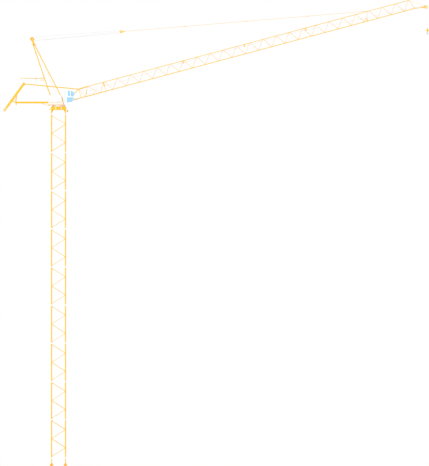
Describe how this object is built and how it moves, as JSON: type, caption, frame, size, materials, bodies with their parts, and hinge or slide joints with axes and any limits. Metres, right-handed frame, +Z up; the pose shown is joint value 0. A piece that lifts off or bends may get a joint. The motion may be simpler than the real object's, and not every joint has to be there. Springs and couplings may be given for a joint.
{
  "type": "tower crane with a luffing jib, 1:2 scale model",
  "caption": "Luffing jib tower crane on a square lattice mast, with a lever ballast tied to the jib's heel, an A-frame, a cab and a hook.",
  "frame": {"origin": "centre of the sole of the mast's front left foot, on the ground; the mast's own axis stands 0.528 m along +X and +Y from it", "axes": "+Z up, +X along the jib at rest, -Y the side with the cab"},
  "size_m": [32.349, 1.859, 35.4577],
  "materials": {
    "amber_paint": "satin amber yellow paint",
    "pale_steel": "light grey, machined and painted",
    "grey_steel": "grey steel",
    "wire_rope": "galvanised wire rope",
    "white_paint": "satin white paint",
    "blue_glass": "light blue tinted glass",
    "pale_cyan_paint": "pale cyan paint on the cab's rear panel",
    "black_rubber": "black rubber seals and grips"
  },
  "bodies": {
    "mast": {"foundation_anchors": "amber_paint", "mast_section_1": "amber_paint", "mast_section_2": "amber_paint", "mast_section_3": "amber_paint", "mast_section_4": "amber_paint", "mast_section_5": "amber_paint", "mast_section_6": "amber_paint", "mast_section_7": "amber_paint", "mast_section_8": "amber_paint", "mast_section_9": "amber_paint", "mast_couplings": "pale_steel", "tower_head": "amber_paint", "slewing_ring_outer": "pale_steel"},
    "upper_works": {"slewing_ring_inner": "pale_steel", "slewing_platform": "amber_paint", "counter_jib": "amber_paint", "a_frame_front_legs": "amber_paint", "a_frame_rear_legs": "amber_paint", "a_frame_head": "amber_paint", "a_frame_sheaves": "amber_paint", "service_arm": "amber_paint", "luffing_winch": "pale_steel", "luffing_rope_lead": "wire_rope", "machinery_cabinet": "white_paint", "cab_support": "white_paint", "cab_body": "white_paint", "cab_windows": "blue_glass"},
    "jib": {"jib_heel": "amber_paint", "jib_section_1": "amber_paint", "jib_section_2": "amber_paint", "jib_section_3": "amber_paint", "jib_section_4": "amber_paint", "jib_section_5": "amber_paint", "jib_head": "amber_paint", "hoist_winch": "pale_steel", "hoist_rope": "wire_rope", "rope_rollers": "amber_paint"},
    "lever": {"ballast_lever": "amber_paint", "ballast_slabs": "amber_paint"},
    "tie_rods": {"tie_rods": "amber_paint"},
    "pendant_gear": {"pendants": "amber_paint", "luffing_block": "amber_paint"},
    "luffing_falls": {"luffing_ropes": "wire_rope"},
    "head_sheave": {"jib_head_sheave": "amber_paint"},
    "rope_hanger": {"hoist_rope_fall": "wire_rope"},
    "hook_gear": {"hook_block": "amber_paint", "hook": "grey_steel"}
  },
  "joints": [
    {"name": "slew", "type": "hinge", "parent": "mast", "child": "upper_works", "pos_m": [0.528, 0.528, 27.4], "axis": [0, 0, 1], "continuous": true},
    {"name": "luff", "type": "hinge", "parent": "upper_works", "child": "jib", "pos_m": [0.973, 0.528, 27.664], "axis": [0, -1, 0], "range_deg": [0, 60]},
    {"name": "ballast_lever_turn", "type": "hinge", "parent": "upper_works", "child": "lever", "pos_m": [-2.729, 0.528, 27.725], "axis": [0, -1, 0], "range_deg": [0, 58.2]},
    {"name": "tie_rod_pivot", "type": "hinge", "parent": "jib", "child": "tie_rods", "pos_m": [2.06745, 0.528, 28.66021], "axis": [0, -1, 0], "range_deg": [-52.4, 0]},
    {"name": "pendant_pivot", "type": "hinge", "parent": "jib", "child": "pendant_gear", "pos_m": [24.10617, 0.528, 34.59963], "axis": [0, -1, 0], "range_deg": [0, 2.1]},
    {"name": "luffing_fall_turn", "type": "hinge", "parent": "upper_works", "child": "luffing_falls", "pos_m": [-1.475, 0.528, 32.467], "axis": [0, -1, 0], "range_deg": [0, 62.1], "deforming": ["luffing_ropes"]},
    {"name": "head_sheave_spin", "type": "hinge", "parent": "jib", "child": "head_sheave", "pos_m": [28.44639, 0.528, 34.90745], "axis": [0, -1, 0], "continuous": true},
    {"name": "fall_hang", "type": "hinge", "parent": "jib", "child": "rope_hanger", "pos_m": [28.44639, 0.528, 34.90745], "axis": [0, -1, 0], "range_deg": [-60, 0]},
    {"name": "hoist", "type": "slide", "parent": "rope_hanger", "child": "hook_gear", "axis": [0, 0, -1], "range_m": [-0.8, 32.4], "deforming": ["hoist_rope_fall"]}
  ],
  "couplings": [
    {"joint": "ballast_lever_turn", "follows": "luff", "ratio": 0.96894},
    {"joint": "tie_rod_pivot", "follows": "luff", "ratio": -0.87303},
    {"joint": "pendant_pivot", "follows": "luff", "ratio": 0.03417},
    {"joint": "luffing_fall_turn", "follows": "luff", "ratio": 1.0342},
    {"joint": "fall_hang", "follows": "luff", "ratio": -1}
  ]
}
